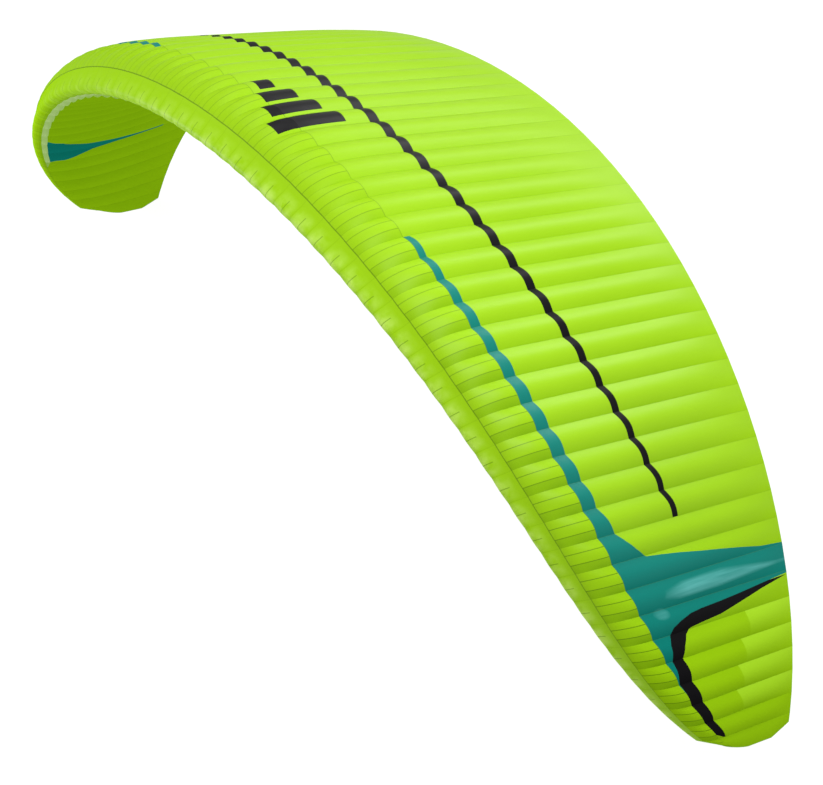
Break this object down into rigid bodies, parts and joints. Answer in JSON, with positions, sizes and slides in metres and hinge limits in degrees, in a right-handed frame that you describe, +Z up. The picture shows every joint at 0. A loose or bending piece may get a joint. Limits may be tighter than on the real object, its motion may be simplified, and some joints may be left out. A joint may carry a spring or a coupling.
{
  "type": "paraglider wing",
  "caption": "Inflated, arched paraglider canopy of ripstop cloth: bulging cells between profile ribs, open air intakes along the leading edge, and thin swept-back tips.",
  "frame": {"origin": "bottom centre of the bounding box, on the ground between the two tips", "axes": "+X to the pilot's left along the span, -Y the way the wing flies, +Z up"},
  "size_m": [8.6754, 2.7008, 3.9913],
  "materials": {
    "sail": "coated ripstop nylon, slightly glossy, lime green with teal and black panels",
    "belly": "coated ripstop nylon, lime green with teal panels",
    "rib": "stiff white ripstop nylon",
    "edge": "doubled and bound ripstop nylon, lime green"
  },
  "bodies": {
    "root": {"lower_sail": "belly", "nose_panel": "sail", "rib_00": "rib", "rib_l01": "rib", "rib_l02": "rib", "rib_l03": "rib", "rib_l04": "rib", "rib_l05": "rib", "rib_l06": "rib", "rib_l07": "rib", "rib_l08": "rib", "rib_l09": "rib", "rib_l10": "rib", "rib_l11": "rib", "rib_l12": "rib", "rib_l13": "rib", "rib_l14": "rib", "rib_l15": "rib", "rib_l16": "rib", "rib_l17": "rib", "rib_l18": "rib", "rib_l19": "rib", "rib_l20": "rib", "rib_l21": "rib", "rib_l22": "rib", "rib_l23": "rib", "rib_l24": "rib", "rib_r01": "rib", "rib_r02": "rib", "rib_r03": "rib", "rib_r04": "rib", "rib_r05": "rib", "rib_r06": "rib", "rib_r07": "rib", "rib_r08": "rib", "rib_r09": "rib", "rib_r10": "rib", "rib_r11": "rib", "rib_r12": "rib", "rib_r13": "rib", "rib_r14": "rib", "rib_r15": "rib", "rib_r16": "rib", "rib_r17": "rib", "rib_r18": "rib", "rib_r19": "rib", "rib_r20": "rib", "rib_r21": "rib", "rib_r22": "rib", "rib_r23": "rib", "rib_r24": "rib", "tip_left": "edge", "tip_right": "edge", "upper_sail": "sail"}
  },
  "joints": []
}
